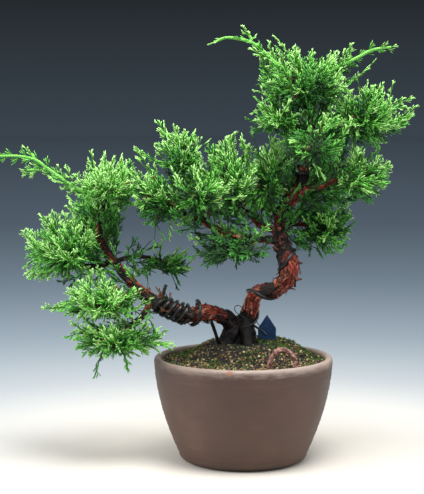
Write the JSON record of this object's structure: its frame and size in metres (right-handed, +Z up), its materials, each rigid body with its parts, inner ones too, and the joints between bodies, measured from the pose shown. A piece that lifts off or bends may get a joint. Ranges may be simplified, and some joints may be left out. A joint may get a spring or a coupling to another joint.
{
  "type": "forked juniper bonsai in a round clay pot",
  "caption": "Small juniper bonsai with a forked, wire-trained trunk, open tufts of scale-leaf foliage and a round unglazed brown clay pot to stand on a table.",
  "frame": {"origin": "middle of the pot's flat underside", "axes": "+Z up along the pot's axis, +X to the right as seen from the front, front towards -Y"},
  "size_m": [0.2812, 0.12, 0.2849],
  "materials": {
    "clay": "unglazed matt",
    "earth": "loose and rough",
    "label": "satin",
    "bark": "flaking bark",
    "wire": "dark satin",
    "foliage": "fresh scale leaves"
  },
  "bodies": {
    "root": {"pot": "clay", "soil": "earth", "plant_label": "label", "root_arch": "bark", "trunk_right": "bark", "trunk_left": "bark", "bough_pad_low": "bark", "bough_pad_high": "bark", "bough_pad_left": "bark", "bough_pad_front": "bark", "bough_pad_under": "bark", "bough_pad_back": "bark", "bough_right_low": "bark", "bough_right_back": "bark", "bough_right_mid": "bark", "bough_right_top": "bark", "bough_crown_low": "bark", "bough_crown_front": "bark", "bough_crown_back": "bark", "bough_crown_left": "bark", "bough_left_low": "bark", "bough_left_front": "bark", "bough_left_mid": "bark", "bough_left_inner": "bark", "bough_left_back": "bark", "wire_right": "wire", "wire_right_upper": "wire", "wire_left_outer": "wire", "wire_left_middle": "wire", "wire_left_inner": "wire", "wire_left_loop": "wire", "wire_anchor": "wire", "crown_top": "foliage", "crown_left": "foliage", "crown_low": "foliage", "crown_front": "foliage", "crown_back": "foliage", "crown_right": "foliage", "right_mid": "foliage", "right_low": "foliage", "right_back": "foliage", "pad_top": "foliage", "pad_left": "foliage", "pad_front": "foliage", "pad_right": "foliage", "pad_under": "foliage", "pad_back": "foliage", "left_top": "foliage", "left_mid": "foliage", "left_front": "foliage", "left_low": "foliage", "left_inner": "foliage", "left_back": "foliage"}
  },
  "joints": []
}
